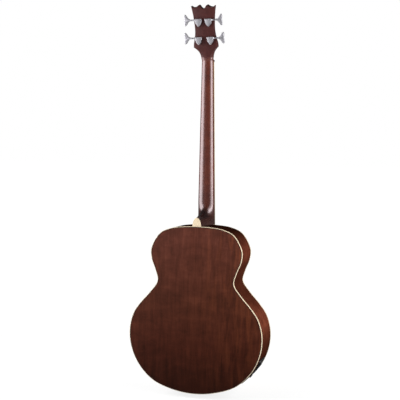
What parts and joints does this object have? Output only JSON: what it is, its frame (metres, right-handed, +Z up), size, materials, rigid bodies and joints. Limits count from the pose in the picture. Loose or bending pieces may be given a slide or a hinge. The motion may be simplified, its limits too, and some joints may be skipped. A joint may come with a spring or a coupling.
{
  "type": "acoustic bass guitar",
  "caption": "Acoustic bass guitar with a mahogany back and sides, cream binding, a long-scale neck, chrome tuning machines and a black jack plate on its side.",
  "frame": {"origin": "centre of the flat outer face of the end pin, on the body's centreline", "axes": "+Z up the neck to the headstock, -Y out of the soundboard, +X to the treble side"},
  "size_m": [0.4396, 0.1322, 1.2417],
  "materials": {
    "mahogany": "gloss lacquer over reddish brown mahogany",
    "spruce": "gloss lacquer over amber spruce",
    "brace_wood": "bare sanded spruce",
    "rosewood": "oiled dark hardwood",
    "dark_veneer": "gloss lacquer over dark veneer",
    "cream_plastic": "polished cream binding",
    "bone": "polished bone white",
    "black_nut": "satin black",
    "black_plastic": "semi-gloss black",
    "steel": "plain steel",
    "bronze": "wound bronze",
    "chrome": "polished chrome"
  },
  "bodies": {
    "body": {"soundboard": "spruce", "back_plate": "mahogany", "top_binding": "cream_plastic", "back_binding": "cream_plastic", "side_treble": "mahogany", "side_bass": "mahogany", "top_lining_treble": "brace_wood", "top_lining_bass": "brace_wood", "back_lining_treble": "brace_wood", "back_lining_bass": "brace_wood", "neck_block": "brace_wood", "tail_block": "brace_wood", "x_brace": "brace_wood", "upper_brace": "brace_wood", "tone_bar": "brace_wood", "bridge_plate": "brace_wood", "back_strip": "brace_wood", "back_brace_1": "brace_wood", "back_brace_2": "brace_wood", "back_brace_3": "brace_wood", "neck": "mahogany", "heel_cap": "cream_plastic", "headstock_veneer": "dark_veneer", "truss_rod_cover": "black_plastic", "truss_rod": "steel", "fingerboard": "rosewood", "fingerboard_binding": "cream_plastic", "nut": "black_nut", "bridge": "rosewood", "saddle": "bone", "pickup": "steel", "bridge_pin_1": "black_plastic", "bridge_pin_2": "black_plastic", "bridge_pin_3": "black_plastic", "bridge_pin_4": "black_plastic", "string_1": "bronze", "string_2": "bronze", "string_3": "bronze", "string_4": "bronze", "tuner_1_housing": "chrome", "tuner_1_bushing": "chrome", "tuner_2_housing": "chrome", "tuner_2_bushing": "chrome", "tuner_3_housing": "chrome", "tuner_3_bushing": "chrome", "tuner_4_housing": "chrome", "tuner_4_bushing": "chrome", "end_pin": "black_plastic", "jack_plate": "black_plastic", "output_jack": "chrome", "xlr_socket": "black_plastic"},
    "key_1": {"tuner_1_key": "chrome"},
    "post_1": {"tuner_1_post": "chrome"},
    "key_2": {"tuner_2_key": "chrome"},
    "post_2": {"tuner_2_post": "chrome"},
    "key_3": {"tuner_3_key": "chrome"},
    "post_3": {"tuner_3_post": "chrome"},
    "key_4": {"tuner_4_key": "chrome"},
    "post_4": {"tuner_4_post": "chrome"}
  },
  "joints": [
    {"name": "key_1_turn", "type": "hinge", "parent": "body", "child": "key_1", "pos_m": [-0.0194, -0.01782, 1.13703], "axis": [-1, 0, 0], "continuous": true},
    {"name": "post_1_turn", "type": "hinge", "parent": "body", "child": "post_1", "pos_m": [-0.0194, -0.04054, 1.13317], "axis": [0, -0.9673, 0.2538], "continuous": true},
    {"name": "key_2_turn", "type": "hinge", "parent": "body", "child": "key_2", "pos_m": [-0.0163, -0.00335, 1.19216], "axis": [-1, 0, 0], "continuous": true},
    {"name": "post_2_turn", "type": "hinge", "parent": "body", "child": "post_2", "pos_m": [-0.0163, -0.02608, 1.1883], "axis": [0, -0.9673, 0.2538], "continuous": true},
    {"name": "key_3_turn", "type": "hinge", "parent": "body", "child": "key_3", "pos_m": [0.0163, -0.00335, 1.19216], "axis": [1, 0, 0], "continuous": true},
    {"name": "post_3_turn", "type": "hinge", "parent": "body", "child": "post_3", "pos_m": [0.0163, -0.02608, 1.1883], "axis": [0, -0.9673, 0.2538], "continuous": true},
    {"name": "key_4_turn", "type": "hinge", "parent": "body", "child": "key_4", "pos_m": [0.0194, -0.01782, 1.13703], "axis": [1, 0, 0], "continuous": true},
    {"name": "post_4_turn", "type": "hinge", "parent": "body", "child": "post_4", "pos_m": [0.0194, -0.04054, 1.13317], "axis": [0, -0.9673, 0.2538], "continuous": true}
  ],
  "couplings": [
    {"joint": "post_1_turn", "follows": "key_1_turn", "ratio": 0.05},
    {"joint": "post_2_turn", "follows": "key_2_turn", "ratio": 0.05},
    {"joint": "post_3_turn", "follows": "key_3_turn", "ratio": -0.05},
    {"joint": "post_4_turn", "follows": "key_4_turn", "ratio": -0.05}
  ]
}
